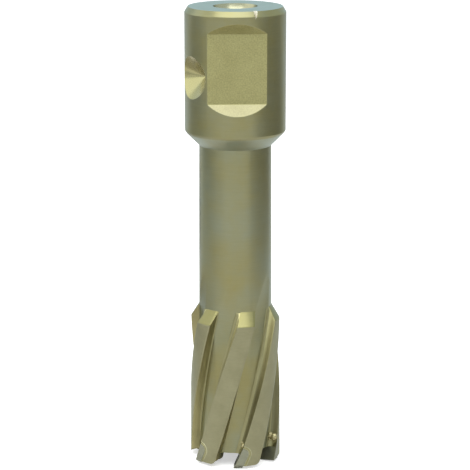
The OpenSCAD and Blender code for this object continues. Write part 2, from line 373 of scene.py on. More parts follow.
climb = np.linspace(0, 1, 7)[:, None]
tube_low = low + (LEVEL_Z - low) * climb
tube_high = stops((8, 22, 2), (22, 26, 1), (26, 39, 0.4), (39, TUBE_TOP, 1.5))[:, None] + 0 * low
tube_z = np.concatenate([tube_low, tube_high])
neck = FLOOR_R - (FLOOR_R - NECK_TOP_R) * np.clip((tube_z - CONE_TOP) / (REACH - CONE_TOP), 0, None)
tube_r = eased_min(neck, runout_radius(outer_turn, tube_z), RUNOUT_EASE)
wall_line = np.array([(TUCKED_R, TUBE_TOP), (TUCKED_R, TUCKED_Z), (CORE_R, CORE_DEPTH), *BORE_RINGS])
wall_r, wall_z = wall_line.T[:, :, None] + 0 * low
wall_r = np.concatenate([wall_r, CORE_R + 0 * tube_low])
wall_z = np.concatenate([wall_z, tube_low[::-1]])
tube_x, tube_y = on_circle(np.concatenate([outer_turn + 0 * tube_z, inner_turn + 0 * wall_z]),
                           np.concatenate([tube_r, wall_r]))
tube_points = as_points(tube_x, tube_y, np.concatenate([tube_z, wall_z]))
tube_quads = grid_quads(*tube_x.shape, wrap_rows=True)
print("tube:", tube_x.shape, "rings and columns,", len(tube_quads), "quads")

# %% [markdown]
# ## The lands
# A land is a bar that winds up round the tube. Its cross-section has a straight cutting side that leaves the
# flute's floor through a round, an arc on the outside, and a heel. It could be swept along a helix, but both
# sides have their own twist, so the section is worked out for all heights at once. First comes the
# outside's radius, which falls away as a cone at the top, and the cutting side.

# %% Cutting side of a land
LAND_TOP_R, TOOTH_DROP, CONE_EASE = 8.59, 0.65, 0.08
CONE_FALL = (LAND_TOP_R - FLOOR_R) / (CONE_TOP - HEAD_H)
RAKE_ROUND = 0.9
CUT_COLS, CUT_APART = 14, 0.004


def land_radius(z):
    """Outside of the head: a slight back taper, then the cone down to the neck."""
    taper = LAND_R - (LAND_R - LAND_TOP_R) * (z - TOOTH_DROP) / (HEAD_H - TOOTH_DROP)
    return eased_min(taper, LAND_TOP_R - (z - HEAD_H) * CONE_FALL, CONE_EASE)


def beside_spoke(turn, side, along):
    """Point at a distance along the spoke at an angle and a sideways distance from it, as x and y."""
    return side * np.cos(turn) + along * np.sin(turn), side * np.sin(turn) - along * np.cos(turn)


def cutting_side(z, outer, inner):
    """Line from the inner radius over the flute's round to the outer radius, beside the spoke of the cutting
    side. Where the outer radius cuts it short, its points keep a small distance."""
    angles = np.radians(np.linspace(-82, 0, 9))
    bend = FLOOR_R + RAKE_ROUND * (1 + np.sin(angles))
    side = np.concatenate([[-RAKE_ROUND], RAKE_ROUND * (np.cos(angles) - 1), np.zeros(4)])[None, :]
    along = np.concatenate([[0], bend, np.zeros(4)])[None, :] + 0 * z
    along[:, :1] = inner
    along[:, -4:] = FLOOR_R + RAKE_ROUND + (outer - FLOOR_R - RAKE_ROUND) * np.linspace(0.25, 1, 4)
    cut_short = np.sqrt(outer ** 2 - side ** 2) - CUT_APART * np.arange(CUT_COLS - 1, -1, -1)
    return beside_spoke(lead_turn(z), side, np.minimum(along, cut_short))


print("land at half height:", round(float(land_radius(HEAD_H / 2)), 3), "mm from the axis")

# %% [markdown]
# The ground outside of a land ends in two broken edges, and the heel meets the flute's floor in a small
# fillet. A bevel modifier could round them, but it needs clean edges to work on. Here the points of
# both roundings are placed in the section itself.

# %% Outer arc and heel of a land
EDGE_BREAK = 0.07
HEEL_SPREAD, HEEL_FILLET, HEEL_BLEND, HEEL_APART = 0.45, 0.16, 3.0, 0.02
HEEL_LINE_R, HEEL_LINE_LEN = 9.75, 3.367


def outer_arc(first, last, outer):
    """Arc between two angles at the outer radius, with more points and a small dip at its broken edges."""
    edge_turn = EDGE_BREAK / outer
    soft = np.array([0.3, 1.0, 3.0])
    middle = first + (last - first) * np.linspace(0.12, 0.88, 9)
    arc = np.concatenate([first + edge_turn * soft, middle, last - edge_turn * soft[::-1]], 1)
    dip = np.concatenate([[0.3, 0, 0], np.zeros(9), [0, 0, 0.3]]) * EDGE_BREAK
    return on_circle(arc, outer - dip)


def heel_side(z, outer, inner):
    """Line from the outer radius down the heel, over the fillet at the flute's floor to the inner radius. It
    spreads toward its foot, and not at all at the height of the gullets."""
    low_side = FLOOR_R + np.concatenate([[1.0, 0.6], HEEL_FILLET * np.linspace(1, 0, 5)])[None, :]
    low_side = np.minimum(low_side, outer - EDGE_BREAK - HEEL_APART * np.arange(1, 8))
    down = np.concatenate([outer - EDGE_BREAK, low_side, inner], 1)
    over = np.clip(FLOOR_R + HEEL_FILLET - down, 0, HEEL_FILLET)
    fillet = HEEL_FILLET - np.sqrt(HEEL_FILLET ** 2 - over ** 2)
    spread = HEEL_SPREAD * (HEEL_LINE_R - down) / HEEL_LINE_LEN + fillet
    return beside_spoke(heel_turn(z), spread * np.clip((z - GULLET_H) / HEEL_BLEND, 0, 1), down)


foot_spread = HEEL_SPREAD * (HEEL_LINE_R - FLOOR_R) / HEEL_LINE_LEN
print("heel: spreads by", round(foot_spread, 3), "mm down to the flute's floor")

# %% [markdown]
# Low down the cutting side gives way to the slot of the tip. Two meshes could be stitched there, but every
# ring has the same number of points, so the slot's back simply takes the place of the cutting side.

# %% Section of a land
SLOT_TOP = edge_z[0]
ROOT_R, LEAST_WALL = FLOOR_R - 0.35, 0.25


def slot_back(z):
    """Sideways place of a slot's back and corner at a height."""
    foot_x, foot_z = leaned(TIP_T + BRAZE_T, 0.0)
    return np.interp(z, np.append(foot_z, edge_z[::-1]), np.append(foot_x, edge_x[::-1]))


def land_section(z):
    """One closed ring for every height: cutting side or slot, outer arc, heel and inner arc."""
    outer = land_radius(z)
    inner = np.where(z <= GULLET_H, CORE_R, np.minimum(ROOT_R, outer - LEAST_WALL))
    x, y = cutting_side(z, outer - EDGE_BREAK, inner)
    reach = inner + (outer - EDGE_BREAK - inner) * np.linspace(0, 1, x.shape[1])
    in_slot = z <= SLOT_TOP
    back = slot_back(z)
    x = np.where(in_slot, back, x)
    y = np.where(in_slot, -np.sqrt(np.clip(reach ** 2 - back ** 2, 0, None)), y)
    arc_x, arc_y = outer_arc(np.arctan2(x[:, -1:], -y[:, -1:]), heel_turn(z), outer)
    heel_x, heel_y = heel_side(z, outer, inner)
    start, end = np.arctan2(heel_x[:, -1:], -heel_y[:, -1:]), np.arctan2(x[:, :1], -y[:, :1])
    in_x, in_y = on_circle(start + (end - start) * np.linspace(0, 1, 7)[1:-1], inner)
    return np.concatenate([x, arc_x, heel_x, in_x], 1), np.concatenate([y, arc_y, heel_y, in_y], 1)


print("section of a land:", land_section(np.array([[HEAD_H / 2]]))[0].size, "points")

# %% [markdown]
# The bar's foot reaches in to the bore, which makes the tooth. On the real tool its lowest face is ground
# back behind the tip and rounds up at the heel. Bending the lowest ring does the same, where a cut
# would need another solid.

# %% Land bars
TOOTH_RELIEF, HEEL_ROUND = math.radians(1), 0.8
JUST_ABOVE, RING_GAP = 0.001, 0.02
LAND_END = 32.6


def end_caps(rows, cols):
    """The first ring closed from below and the last ring closed from above."""
    return [np.arange(cols)[::-1], np.arange((rows - 1) * cols, rows * cols)]


head_rows = stops((4.9, 28.2, 0.6), (28.2, 28.7, 0.1), (28.9, CONE_TOP, 0.3))
land_z = np.concatenate([stops((TOOTH_DROP, GULLET_H, 0.18)), [GULLET_H + JUST_ABOVE],
                         stops((3, SLOT_TOP, 0.13)), [SLOT_TOP + JUST_ABOVE],
                         head_rows, [LAND_END]])[:, None]
land_x, land_y = land_section(land_z)
level = land_z + 0 * land_x
foot_heel = heel_turn(land_z[:1])
to_heel = land_x[:1] * np.cos(foot_heel) + land_y[:1] * np.sin(foot_heel)
inside_round = np.clip(HEEL_ROUND + to_heel, 0, HEEL_ROUND)
level[:1] = (TOOTH_DROP + (land_x[:1] - TIP_T) * math.tan(TOOTH_RELIEF)
             + HEEL_ROUND - np.sqrt(HEEL_ROUND ** 2 - inside_round ** 2))
level[1:4] = np.maximum(level[1:4], level[:1] + RING_GAP * np.arange(1, 4)[:, None])
land_points = as_points(land_x, land_y, level)
land_quads, land_caps = grid_quads(*land_x.shape), end_caps(*land_x.shape)
print("land bar:", land_x.shape, "rings and points, tooth foot at", round(float(level.min()), 3), "mm")

# %% [markdown]
# In front of each tip a small wedge of steel carries the cutting side on down to the gullet. It could be a
# part of the bar's section, but that would need a second outline there. So it is a bar of its own, with
# the same cutting side, cut off at the plane of the tip's front.

# %% Wedges in front of the tips
WEDGE_OVER, WEDGE_IN = 0.02, 0.02

wedge_z = stops((GULLET_H, SLOT_TOP + WEDGE_OVER, 0.15))[:, None]
wedge_root = np.full_like(wedge_z, ROOT_R)
wedge_x, wedge_y = cutting_side(wedge_z, land_radius(wedge_z) - WEDGE_IN, wedge_root)
tip_plane = wedge_z * math.tan(LEAN)
wedge_x = np.concatenate([np.minimum(wedge_x, tip_plane), tip_plane], 1)
wedge_y = np.concatenate([wedge_y, -wedge_root], 1)
wedge_points = as_points(wedge_x, wedge_y, wedge_z)
wedge_quads, wedge_caps = grid_quads(*wedge_x.shape), end_caps(*wedge_x.shape)
print("wedge:", wedge_x.shape, "rings and points")

# %% [markdown]
# ## One steel body
# The shank, the tube, six land bars and six wedges go into one mesh, because the real body is one piece.
# A boolean could fuse them, but would cut their even grids to pieces. Instead each is a closed skin that
# starts inside its neighbour. A number for each face later picks its material.

# %% Mesh helpers
MM = 0.001


def ring_means(values):
    """Mean of a grid of values over the four corners of each quad, rows and columns both closed."""
    pair = values + np.roll(values, -1, 1)
    return ((pair + np.roll(pair, -1, 0)) / 4).reshape(-1)


def joined(shells):
    """Several shells of (points, quads, caps, finishes) as one list of points, faces and finishes."""
    points, _, _, finishes = zip(*shells)
    starts = np.cumsum([0] + [len(part) for part in points])
    faces = []
    for (_, quads, caps, _), start in zip(shells, starts):
        faces += (quads + start).tolist() + [(cap + start).tolist() for cap in caps]
    return np.concatenate(points), faces, np.concatenate(finishes)


def make_piece(name, points, faces, finish, materials, sharp=32, closed_skin=False):
    """A mesh object at the origin from points in millimetres, smooth apart from its sharp edges."""
    mesh = bpy.data.meshes.new(name)
    mesh.from_pydata((points * MM).tolist(), [], faces)
    for one in materials:
        mesh.materials.append(one)
    mesh.polygons.foreach_set("material_index", np.asarray(finish, dtype=np.int32))
    mesh.shade_smooth()
    mesh.set_sharp_from_angle(angle=math.radians(sharp))
    mesh.update()
    if closed_skin:
        outward = bmesh.new()
        outward.from_mesh(mesh)
        bmesh.ops.recalc_face_normals(outward, faces=outward.faces)
        outward.to_mesh(mesh)
        outward.free()
    piece = bpy.data.objects.new(name, mesh)
    scene.collection.objects.link(piece)
    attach(piece, "root")
    return piece


print("mean of a quad with one corner raised by 1:", ring_means(np.diag([1.0, 0, 0]))[0])

# %% [markdown]
# A turned, a milled and a drilled surface look different, though one coating lies on all of them. Picking the
# faces by hand would have to be done again after every change. So the finish of a face follows from which
# of the shank's surfaces is the lowest there, and from its height and its row.
# Some finishes here are painted light: shade on the upper ramp, a highlight on the lower ramp, highlight and
# shade in the mouth, and reflections on the end face and the shoulder cone.

# %% Finishes of the shank
(TURNED, MILLED, GROUND, FLUTE, BORED, FACED, FRESH, DRILLED,
 RAMP, RAKE, HEEL, BEVEL, LEDGE, SHANK, CONE) = range(15)
IN_NICK, IN_DIMPLE = 0.1, 0.99

flat_map, dimple_map, nick_map = np.zeros((3, *shank_r.shape))
flat_map[:len(skin)] = flat_skin < turned_skin
dimple_map[block] = 1
nick_map[:len(skin)] = nick
row = ring_means(np.arange(len(shank_r))[:, None] + 0 * shank_r)
height = ring_means(shank_z)
on_flat = ring_means(flat_map) > 0.5
in_nick = (ring_means(nick_map) > IN_NICK) & (row < len(skin))
# The shoulder cone gets a greyer tone than the shank: a painted reflection of the pale floor it faces.
shank_finish = np.where(on_flat, MILLED, np.where(height < FOOT_Z, CONE, SHANK))
# The upper ramp faces down and gets a darker tone than the flat: painted shade.
shank_finish = np.where(on_flat & (height > FLAT_Z + FLAT_HALF), RAMP, shank_finish)
# The lower ramp faces the overhead softbox and gets a paler tone than the flat: a painted highlight.
shank_finish = np.where(on_flat & (height < FLAT_Z - FLAT_HALF), LEDGE, shank_finish)
shank_finish = np.where(ring_means(dimple_map) > IN_DIMPLE, DRILLED, shank_finish)
# The end face gets a blue-grey tone: a painted reflection of the pale surroundings.
shank_finish = np.where(row > len(skin) - 1, FACED, shank_finish)
# The mouth and bores get a brighter tone, a painted highlight, and a dark edge tint, painted shade.
shank_finish = np.where(row > len(skin) + len(end_face), BORED, shank_finish)
shank_finish = np.where(in_nick, FRESH, shank_finish)
print("shank:", len(np.unique(shank_finish)), "finishes")

# %% [markdown]
# On the lands the column tells the side: cutting side, ground outside or heel. The finishes are worked out
# once for a bar and a wedge, and turned copies of both serve all six teeth. An array modifier could repeat
# them, but here all skins go into one mesh at once.

# %% Finishes of the lands and all skins
RAKE_FROM, ARC_FROM, HEEL_FROM, HEEL_TO = 5, CUT_COLS, 29, 33
BEVEL_FROM = HEAD_H - 0.05


def turned(points, degrees):
    """Points turned about Z."""
    cos, sin = math.cos(math.radians(degrees)), math.sin(math.radians(degrees))
    spin = np.array([[cos, -sin, 0], [sin, cos, 0], [0, 0, 1]])
    return points @ spin.T


tube_row = ring_means(np.arange(len(tube_x))[:, None] + 0 * tube_x)
tube_finish = np.where(tube_row > len(tube_z), BORED, TURNED)
cols, ring_z = np.arange(land_x.shape[1]), land_z[:-1]
on_arc = (cols >= ARC_FROM) & (cols < HEEL_FROM)
on_heel = (cols >= HEEL_FROM) & (cols < HEEL_TO)
on_rake = (cols >= RAKE_FROM) & (cols < ARC_FROM) & (ring_z > SLOT_TOP)
# The cutting sides get a brighter golden tone as painted light, which darkens toward the teeth as painted
# shade.
land_finish = np.where(on_rake, RAKE, FLUTE)
# The heels get a brighter tone as painted light, and a near-black edge tint and a darkening toward the top as
# painted shade.
land_finish = np.where(on_heel, HEEL, np.where(on_arc, GROUND, land_finish))
# Above the head the outer arcs are the land-top cones, whose darker tone is painted shade.
land_finish = np.where(on_arc & (ring_z > BEVEL_FROM), BEVEL, land_finish)
land_finish = np.concatenate([land_finish.reshape(-1), [GROUND, FLUTE]])
wedge_finish = np.full(len(wedge_quads) + len(wedge_caps), FLUTE)

shells = [(shank_points, shank_quads, [], shank_finish), (tube_points, tube_quads, [], tube_finish)]
for k in range(TEETH):
    angle = TOOTH_TURN + TOOTH_STEP * k
    shells.append((turned(land_points, angle), land_quads, land_caps, land_finish))
    shells.append((turned(wedge_points, angle), wedge_quads, wedge_caps, wedge_finish))
print("steel body:", len(shells), "closed skins")

# %% [markdown]
# ## Braze
# Each tip sits in its slot in a thin joint of braze. What one sees of it is a pair of raised lines, where the
# braze has climbed the tip and the steel, with a shallow channel between them. The lines are given a paler
# tone as a painted highlight and the channel a darker one as painted shade. A painted line would lie flat on
# the steel, so the joint is a profile carried along the edge of the slot.

# %% Braze joints
# Braze materials by number: a painted highlight on the raised lines, painted shade in the channel, golden
# beads.
LINE, CHANNEL, BEAD = range(3)
JOINT_OUT = np.array([0.0, 0.04, 0.12, 0.16, 0.42, 0.46, 0.54, 0.58])
JOINT_LIFT = np.array([-0.03, 0.01, 0.01, -0.04, -0.02, 0.02, 0.02, -0.03])
LINE_COLS = (0, 1, 5, 6)
JOINT_WAVE, MOST_LIFT, CLEARANCE = 0.012, 0.03, 0.01


def slot_path(out):
    """Edge of the slot at a distance from the tip, as x and z: up its back, round the corner, and over to the
    front."""
    start = (TOOTH_DROP + CLEARANCE + (TIP_T + out) * math.sin(LEAN)) / math.cos(LEAN)
    up = np.linspace(start, TIP_LEN - TIP_ROUND, 9)[:-1]
    angles = np.radians(np.linspace(0, 90, 11))
    corner_across = TIP_T - TIP_ROUND + (TIP_ROUND + out) * np.cos(angles)
    corner_along = TIP_LEN - TIP_ROUND + (TIP_ROUND + out) * np.sin(angles)
    over = np.linspace(TIP_T - TIP_ROUND, 0, 4)[1:]
    across = np.concatenate([np.full(len(up), TIP_T + out), corner_across, over])
    along = np.concatenate([up, corner_along, np.full(len(over), TIP_LEN + out)])
    return leaned(across, along)


def wavy(u, v, seed):
    """Sum of three waves whose phases follow a seed: a smooth unevenness of about -1 to 1."""
    return (np.sin(2.1 * u + 1.7 * seed) * np.cos(1.3 * v + 0.9 * seed)
            + 0.6 * np.sin(4.7 * u - 3.1 * v + 2.3 * seed) + 0.4 * np.sin(7.9 * v + 1.1 * seed)) / 2


def joint_shell(seed):
    """Rings of the joint's profile: its outer skin with two raised lines, then its inner skin on the bore."""
    x, z = np.stack([slot_path(out) for out in JOINT_OUT], -1)
    lift = np.minimum(LAND_R + JOINT_LIFT + JOINT_WAVE * wavy(3 * z, 9 * x, seed), LAND_R + MOST_LIFT)
    radius = np.concatenate([lift, np.full((len(x), 2), CORE_R + CLEARANCE)], 1)
    x = np.concatenate([x, x[:, [-1, 0]]], 1)
    z = np.concatenate([z, z[:, [-1, 0]]], 1)
    ring = np.where(np.isin(np.arange(x.shape[1]), LINE_COLS), LINE, CHANNEL)
    finish = np.concatenate([np.tile(ring, len(x) - 1), [CHANNEL, CHANNEL]])
    points = as_points(x, -np.sqrt(radius ** 2 - x ** 2), z)
    return points, grid_quads(*x.shape), end_caps(*x.shape), finish


print("one joint:", len(joint_shell(1.0)[0]), "points")

# %% [markdown]
# Some braze has run out over the front upper corner of each tip and set in beads, larger on some teeth than
# on others. They could be sculpted, but a lumpy ellipsoid takes only a few numbers and can be scaled for
# each tooth.

# %% Braze beads
POLE, BEAD_SWELL = 0.04, 0.26
BEADS = [(1.0, -0.15, TIP_LEN + 0.35, 7.85, (0.65, 0.8, 0.75)),
         (4.0, -0.3, TIP_LEN + 0.55, 7.05, (0.7, 0.7, 0.75)),
         (7.0, -0.3, TIP_LEN - 0.25, 6.9, (0.45, 0.5, 0.6))]
BEAD_AMOUNTS = [0.65, 1.0, 0.85, 1.0, 0.75, 0.9]


def bead_shell(seed, across, along, radius, sizes):
    """Ellipsoid from pole to pole with a wavy skin. Its first axis lies across the tip, the second up it and
    the third outward."""
    around = np.linspace(0, 2 * math.pi, 24, endpoint=False)[None, :]
    fall = np.linspace(POLE, math.pi - POLE, 15)[:, None]
    swell = 1 + BEAD_SWELL * wavy(2 * np.cos(around) + 0 * fall, 3 * fall + np.sin(around), seed)
    side = across + sizes[0] * swell * np.sin(fall) * np.cos(around)
    up = along + sizes[1] * swell * np.sin(fall) * np.sin(around)
    out = radius + sizes[2] * np.cos(fall) + 0 * around
    x, z = leaned(side, up)
    quads, caps = grid_quads(*x.shape), end_caps(*x.shape)
    return as_points(x, -np.sqrt(out ** 2 - x ** 2), z), quads, caps, np.full(len(quads) + len(caps), BEAD)


joints = []
for k, amount in enumerate(BEAD_AMOUNTS):
    parts = [joint_shell(k + 1.0)]
    for seed, across, along, radius, sizes in BEADS:
        parts.append(bead_shell(k + seed, across, along, radius, np.multiply(amount, sizes)))
    points, faces, finish = joined(parts)
    joints.append((turned(points, TOOTH_TURN + TOOTH_STEP * k), faces, finish))
print("braze:", len(joints), "joints with beads, of", len(joints[0][0]), "points")

# %% [markdown]
# ## A satin coating, seen up close
# The steel carries a thin olive-gold coating. What lies under it differs from face to face: fine rings where
# the lathe cut, a blasted grain on the milled flats, ground lines on the lands and streaks along the flutes.
# The tint differs too, partly with what lies under it and partly as painted light and shade on faces that
# catch more or less light. A slow noise lets the colour drift between two tones, and a finer one is
# stretched along the tool marks. Painted pictures could do this too, but noise on object coordinates
# needs no unwrapping and has no seams.

# %% Colour drift and tool marks
DRIFT_SPAN = {"From Min": 0.35, "From Max": 0.65}


def add_node(tree, kind, values=None, **settings):
    """A new shader node with some settings, such as its operation, and some of its inputs' values."""
    made = tree.nodes.new("ShaderNode" + kind)
    for key, value in settings.items():
        setattr(made, key, value)
    for key, value in (values or {}).items():
        made.inputs[key].default_value = value
    return made


def link_pairs(tree, *pairs):
    """Links pairs of (output, input) sockets."""
    for out, into in pairs:
        tree.links.new(out, into)


def colour_drift(tree, place, tones, drift):
    """A colour that drifts between two tones by a slow noise."""
    slow = add_node(tree, "TexNoise", {"Scale": drift, "Detail": 4, "Roughness": 0.6})
    contrast = add_node(tree, "MapRange", DRIFT_SPAN)
    tone = add_node(tree, "Mix", {"A": (*tones[0], 1), "B": (*tones[1], 1)}, data_type="RGBA")
    link_pairs(tree, (place, slow.inputs["Vector"]), (slow.outputs["Fac"], contrast.inputs["Value"]),
               (contrast.outputs["Result"], tone.inputs["Factor"]))
    return tone.outputs["Result"]


def tool_marks(tree, place, height, marks, twist):
    """A fine noise, stretched along the marks, whose pattern turns with height."""
    angle = add_node(tree, "Math", {1: -twist}, operation="MULTIPLY")
    spin = add_node(tree, "VectorRotate", rotation_type="Z_AXIS")
    stretch = add_node(tree, "Mapping", {"Scale": marks})
    fine = add_node(tree, "TexNoise", {"Scale": 1.0, "Detail": 3})
    link_pairs(tree, (height, angle.inputs[0]), (place, spin.inputs["Vector"]),
               (angle.outputs["Value"], spin.inputs["Angle"]),
               (spin.outputs["Vector"], stretch.inputs["Vector"]),
               (stretch.outputs["Vector"], fine.inputs["Vector"]))
    return fine.outputs["Fac"]


FLUTE_TWIST = math.radians(LEAD_TURN) / MM
print("streaks turn with the lands by", round(math.degrees(FLUTE_TWIST) * MM, 3), "degrees a millimetre")

# %% [markdown]
# The marks set three things at once, as on real metal: how rough it is, a fine relief, and a little light and
# dark. On the sides of the lands the colour is also darkened toward one end as painted shade: the cutting
# sides toward the teeth, the heels toward the top of the head. A set of copied materials would do, but the
# finishes differ only in numbers, so one function makes them all. The turned neck comes first.

# %% One finish
MARK_SPAN = {"From Min": 0.3, "From Max": 0.7}
COAT_ROUGHNESS, RELIEF_DEPTH = 0.4, 0.00003
RIM_TINT = (0.86, 0.95, 1.0)
RINGS = (250, 250, 5200)
LATHE = dict(rough=(0.3, 0.36), marks=RINGS, bump=0.12, metallic=0.85, grain=0.03, edge_tint=RIM_TINT)


def metal_finish(name, tones, rough, marks, bump, metallic, twist=0.0, drift=260.0,
                 grain=0.05, edge_tint=None, coat=0.0, height_shade=None):
    """A metal whose colour drifts between two tones, with tool marks that set roughness and bump.
    marks is the scale of the marks' noise along x, y and z; twist turns the marks with height, in radians a
    metre; the last argument is painted shade: a height where the colour is darker, a height where it is full,
    and how dark it gets."""
    made = bpy.data.materials.new(name)
    made.use_nodes = True
    tree = made.node_tree
    shader = tree.nodes["Principled BSDF"]
    shader.inputs["Metallic"].default_value = metallic
    shader.inputs["Coat Weight"].default_value = coat
    shader.inputs["Coat Roughness"].default_value = COAT_ROUGHNESS
    if edge_tint:
        shader.inputs["Specular Tint"].default_value = (*edge_tint, 1)

    place = add_node(tree, "TexCoord").outputs["Object"]
    split = add_node(tree, "SeparateXYZ")
    link_pairs(tree, (place, split.inputs["Vector"]))
    tone = colour_drift(tree, place, tones, drift)
    fine = tool_marks(tree, place, split.outputs["Z"], marks, twist)
    lines = add_node(tree, "MapRange", {**MARK_SPAN, "To Min": rough[0], "To Max": rough[1]})
    relief = add_node(tree, "Bump", {"Strength": bump, "Distance": RELIEF_DEPTH})
    grey = add_node(tree, "MapRange", {**MARK_SPAN, "To Min": 1 - grain, "To Max": 1 + grain})
    shade = add_node(tree, "Mix", {"Factor": 1.0}, data_type="RGBA", blend_type="MULTIPLY")
    link_pairs(tree, (fine, lines.inputs["Value"]), (lines.outputs["Result"], shader.inputs["Roughness"]),
               (fine, relief.inputs["Height"]), (relief.outputs["Normal"], shader.inputs["Normal"]),
               (fine, grey.inputs["Value"]), (grey.outputs["Result"], shade.inputs["B"]),
               (tone, shade.inputs["A"]), (shade.outputs["Result"], shader.inputs["Base Color"]))
    # Painted shade: the colour darkens between two heights.
    if height_shade:
        darker = add_node(tree, "MapRange", {"From Min": height_shade[0], "From Max": height_shade[1], "To Min": height_shade[2]})
        weigh = add_node(tree, "Math", operation="MULTIPLY")
        link_pairs(tree, (split.outputs["Z"], darker.inputs["Value"]),
                   (grey.outputs["Result"], weigh.inputs[0]), (darker.outputs["Result"], weigh.inputs[1]),
                   (weigh.outputs["Value"], shade.inputs["B"]))
    return made


turned_coat = metal_finish("turned_coat", [(0.252, 0.224, 0.096), (0.238, 0.242, 0.155)],
                           drift=72.0, **LATHE)
print("turned coat:", len(turned_coat.node_tree.nodes), "nodes")

# %% [markdown]
# The other finishes follow in the order of their numbers. Finishes of one kind share their marks: what the
# lathe made, what was blasted, and what runs along the flutes. Tones were matched by the rendered values,
# surface by surface, because each one mirrors another part of the studio.

# %% Coats of the steel body, some of them painted light and shade
DOTS, STREAKS = (3600, 3600, 3600), (2600, 2600, 120)
BLAST = dict(rough=(0.42, 0.56), marks=DOTS, bump=0.5, metallic=0.8)
ALONG = dict(marks=STREAKS, bump=0.3, twist=FLUTE_TWIST)

coats_and_painted_light = [
    turned_coat,
    metal_finish("milled_coat", [(0.29, 0.262, 0.098), (0.325, 0.295, 0.116)],
                 grain=0.2, coat=0.6, edge_tint=RIM_TINT, **BLAST),
    metal_finish("ground_coat", [(0.245, 0.226, 0.125), (0.275, 0.255, 0.146)],
                 rough=(0.4, 0.5), marks=(900, 900, 4200), bump=0.25, metallic=0.75, edge_tint=RIM_TINT),
    metal_finish("flute_coat", [(0.25, 0.224, 0.106), (0.28, 0.256, 0.13)],
                 rough=(0.34, 0.46), metallic=0.75, edge_tint=RIM_TINT, **ALONG),
    # Brighter tone: a painted highlight in the mouth. The dark edge tint is painted shade where it is seen
    # edge-on.
    metal_finish("bored_painted_light_and_shade", [(0.36, 0.34, 0.22), (0.4, 0.38, 0.25)],
                 rough=(0.24, 0.3), marks=RINGS, bump=0.05, metallic=0.9, edge_tint=(0.25, 0.25, 0.2)),
    # Blue-grey tone: a painted reflection of the pale surroundings on the end face.
    metal_finish("faced_painted_reflection", [(0.26, 0.32, 0.26), (0.29, 0.35, 0.3)],
                 rough=(0.34, 0.44), marks=(420, 420, 420), bump=0.15, metallic=0.8, edge_tint=RIM_TINT),
    metal_finish("fresh_metal", [(0.76, 0.72, 0.6), (0.85, 0.81, 0.7)],
                 rough=(0.3, 0.42), marks=DOTS, bump=0.3, metallic=0.6),
    metal_finish("drilled_coat", [(0.385, 0.348, 0.165), (0.41, 0.37, 0.18)],
                 rough=(0.23, 0.27), marks=(300, 300, 300), bump=0.03, metallic=0.9),
    # Darker than the milled flat: painted shade on the upper ramp, which faces down.
    metal_finish("ramp_painted_shade", [(0.262, 0.236, 0.094), (0.296, 0.272, 0.116)], grain=0.15, **BLAST),
    # Brighter golden than the flutes: painted light on the cutting sides. The darkening toward the teeth is
    # painted shade.
    metal_finish("rake_painted_light_and_shade", [(0.44, 0.39, 0.18), (0.48, 0.43, 0.205)], rough=(0.34, 0.46),
                 metallic=0.55, edge_tint=RIM_TINT, height_shade=(0.014, 0.03, 0.35), **ALONG),
    # Brighter than the flutes: painted light on the heels. The near-black edge tint and the darkening toward
    # the top are painted shade.
    metal_finish("heel_painted_light_and_shade", [(0.4, 0.355, 0.175), (0.44, 0.395, 0.2)], rough=(0.42, 0.52),
                 metallic=1.0, edge_tint=(0.1, 0.09, 0.05), height_shade=(0.028, 0.016, 0.7), **ALONG),
    # Darker than the turned neck: painted shade on the land-top cones, which face the overhead softbox.
    metal_finish("bevel_painted_shade", [(0.226, 0.203, 0.08), (0.242, 0.219, 0.095)], **LATHE),
    # Paler than the milled flat: a painted highlight on the lower ramp, which faces the overhead softbox.
    metal_finish("ledge_painted_highlight", [(0.31, 0.279, 0.141), (0.34, 0.307, 0.161)],
                 grain=0.15, coat=0.6, edge_tint=RIM_TINT, **BLAST),
    metal_finish("shank_coat", [(0.254, 0.227, 0.098), (0.246, 0.239, 0.14)], drift=110.0, **LATHE),
    # Greyer than the shank: a painted reflection of the pale floor on the shoulder cone, which faces down.
    metal_finish("cone_painted_reflection", [(0.278, 0.268, 0.168), (0.276, 0.284, 0.195)], **LATHE),
]
body_points, body_faces, body_finish = joined(shells)
body = make_piece("steel_body", body_points, body_faces, body_finish, coats_and_painted_light)
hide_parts("cutter_body")
print("steel body:", len(body_points), "points,", len(body_faces), "faces,", len(coats_and_painted_light), "finishes")

# %% [markdown]
# ## Tips and braze
# The tips are ground hard metal, greyer than the coated steel. They could be remodelled with softer edges,
# but their solids are exact and have the sharp edges of a ground tip. So they stay and only get their finish.
# The braze gets three: a painted highlight on its lines, painted shade in the channel, golden on the beads.

# %% Tips and braze
MELTED = dict(marks=DOTS, bump=0.4, metallic=0.85)

ground_tip = metal_finish("ground_tip", [(0.232, 0.23, 0.16), (0.265, 0.263, 0.19)],
                          rough=(0.32, 0.44), marks=(900, 900, 5200), bump=0.25, metallic=0.85)
braze_tones_and_painted_light = [
    # The lines' paler tone is a painted highlight, the channel's darker tone painted shade.
    metal_finish("braze_painted_highlight", [(0.33, 0.315, 0.18), (0.46, 0.44, 0.27)], rough=(0.3, 0.42), **MELTED),
    metal_finish("braze_painted_shade", [(0.25, 0.23, 0.11), (0.3, 0.275, 0.14)], rough=(0.36, 0.48), **MELTED),
    metal_finish("gold_braze", [(0.28, 0.235, 0.11), (0.44, 0.385, 0.21)], rough=(0.36, 0.5),
                 drift=900.0, **MELTED),
]
for k, (points, faces, finish) in enumerate(joints):
    tip = frame["nodes"][f"carbide_tip_{k + 1}"]
    tip.data.materials.clear()
    tip.data.materials.append(ground_tip)
    joint = make_piece(f"braze_{k + 1}", points, faces, finish, braze_tones_and_painted_light, sharp=40, closed_skin=True)
    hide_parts(f"braze_seam_{k + 1}")
print("tips and braze:", len(joints), "of each")

